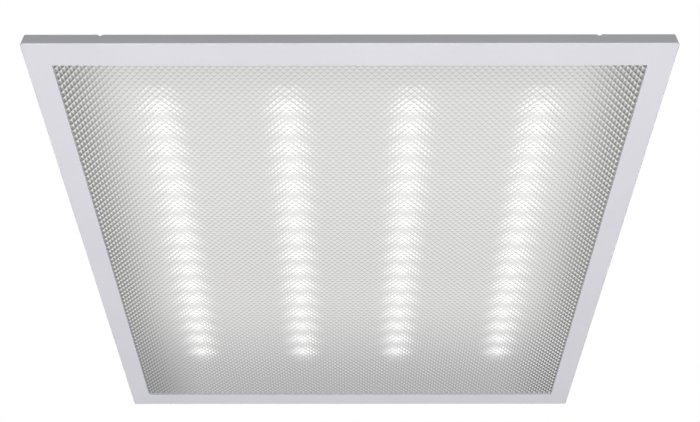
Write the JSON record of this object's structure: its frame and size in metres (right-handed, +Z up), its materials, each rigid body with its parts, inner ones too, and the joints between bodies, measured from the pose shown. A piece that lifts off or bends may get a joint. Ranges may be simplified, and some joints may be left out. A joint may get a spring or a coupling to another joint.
{
  "type": "recessed troffer light",
  "caption": "Square recessed ceiling troffer: slim white steel frame, prismatic diffuser over light strips, ribbed back tray, driver housing with hinged wiring cover, swing-up grid clips.",
  "frame": {"origin": "middle of the visible face, in the plane that rests on the ceiling grid", "axes": "+Z up into the ceiling void, the visible face looks along -Z; +X towards the supply entry; the driver housing is on the +Y side"},
  "size_m": [0.595, 0.595, 0.0457],
  "materials": {
    "white_powder_coat": "fine satin powder coat",
    "white_coated_steel": "white coil-coated sheet",
    "prismatic_plastic": "clear prismatic sheet lit from behind",
    "grey_foam": "closed-cell foam",
    "zinc_steel": "bright zinc",
    "rivet_aluminium": "drawn aluminium",
    "galvanised_steel": "spangled galvanised sheet",
    "red_insulation": "PVC insulation",
    "black_insulation": "PVC insulation",
    "black_rubber": "moulded rubber",
    "green_card": "solder-masked card",
    "white_nylon": "moulded nylon",
    "dark_ferrite": "sintered ferrite",
    "black_sleeve": "shrunk sleeve",
    "copper_winding": "enamelled wire",
    "yellow_film": "epoxy-filled box",
    "grey_nylon": "moulded nylon",
    "orange_nylon": "moulded nylon",
    "tinned_copper": "tinned",
    "brown_insulation": "PVC insulation",
    "blue_insulation": "PVC insulation",
    "green_yellow_insulation": "PVC insulation",
    "white_board": "white solder mask",
    "led_phosphor": "phosphor-filled chip",
    "spring_steel": "zinc-plated spring steel"
  },
  "bodies": {
    "panel": {"back_tray": "white_coated_steel", "black_leads": "black_insulation", "bulk_capacitors": "black_sleeve", "card_connectors": "white_nylon", "card_standoffs": "white_nylon", "clip_brackets": "zinc_steel", "clip_pins": "zinc_steel", "corner_post_1": "galvanised_steel", "corner_post_2": "galvanised_steel", "corner_post_3": "galvanised_steel", "corner_post_4": "galvanised_steel", "cover_hinge_pin": "zinc_steel", "cover_screws": "zinc_steel", "diffuser": "prismatic_plastic", "diffuser_gasket": "grey_foam", "driver_card": "green_card", "driver_cover": "galvanised_steel", "earth_lead": "green_yellow_insulation", "earth_lug": "tinned_copper", "face_frame": "white_powder_coat", "film_capacitor": "yellow_film", "heat_sink": "rivet_aluminium", "housing_base": "galvanised_steel", "housing_screws": "zinc_steel", "lead_grommet": "black_rubber", "led_board_1": "white_board", "led_board_2": "white_board", "led_board_3": "white_board", "led_board_4": "white_board", "led_chips_1": "led_phosphor", "led_chips_2": "led_phosphor", "led_chips_3": "led_phosphor", "led_chips_4": "led_phosphor", "live_lead": "brown_insulation", "mains_choke": "copper_winding", "neutral_lead": "blue_insulation", "red_leads": "red_insulation", "retaining_rail_far": "galvanised_steel", "retaining_rail_left": "galvanised_steel", "retaining_rail_near": "galvanised_steel", "retaining_rail_right": "galvanised_steel", "strip_plug_1": "white_nylon", "strip_plug_2": "white_nylon", "strip_plug_3": "white_nylon", "strip_plug_4": "white_nylon", "strip_rivets": "rivet_aluminium", "supply_grommet": "black_rubber", "suspension_nuts": "zinc_steel", "terminal_block": "grey_nylon", "transformer": "dark_ferrite", "tray_screws": "zinc_steel"},
    "wiring_cover": {"wiring_cover": "galvanised_steel"},
    "release_button_1": {"release_button_1": "orange_nylon"},
    "release_button_2": {"release_button_2": "orange_nylon"},
    "release_button_3": {"release_button_3": "orange_nylon"},
    "grid_clip_1": {"grid_clip_1": "spring_steel"},
    "grid_clip_2": {"grid_clip_2": "spring_steel"},
    "grid_clip_3": {"grid_clip_3": "spring_steel"},
    "grid_clip_4": {"grid_clip_4": "spring_steel"}
  },
  "joints": [
    {"name": "wiring_cover_hinge", "type": "hinge", "parent": "panel", "child": "wiring_cover", "pos_m": [0.101, 0.249, 0.0433], "axis": [-1, 0, 0], "range_deg": [0, 100]},
    {"name": "release_button_1_press", "type": "slide", "parent": "panel", "child": "release_button_1", "axis": [0, 0, -1], "range_m": [0, 0.0015], "stiffness_N_per_m": 400},
    {"name": "release_button_2_press", "type": "slide", "parent": "panel", "child": "release_button_2", "axis": [0, 0, -1], "range_m": [0, 0.0015], "stiffness_N_per_m": 400},
    {"name": "release_button_3_press", "type": "slide", "parent": "panel", "child": "release_button_3", "axis": [0, 0, -1], "range_m": [0, 0.0015], "stiffness_N_per_m": 400},
    {"name": "grid_clip_1_swing", "type": "hinge", "parent": "panel", "child": "grid_clip_1", "pos_m": [-0.227, -0.289, 0.01795], "axis": [1, 0, 0], "range_deg": [0, 90]},
    {"name": "grid_clip_2_swing", "type": "hinge", "parent": "panel", "child": "grid_clip_2", "pos_m": [0.227, -0.289, 0.01795], "axis": [1, 0, 0], "range_deg": [0, 90]},
    {"name": "grid_clip_3_swing", "type": "hinge", "parent": "panel", "child": "grid_clip_3", "pos_m": [0.227, 0.289, 0.01795], "axis": [-1, 0, 0], "range_deg": [0, 90]},
    {"name": "grid_clip_4_swing", "type": "hinge", "parent": "panel", "child": "grid_clip_4", "pos_m": [-0.227, 0.289, 0.01795], "axis": [-1, 0, 0], "range_deg": [0, 90]}
  ]
}
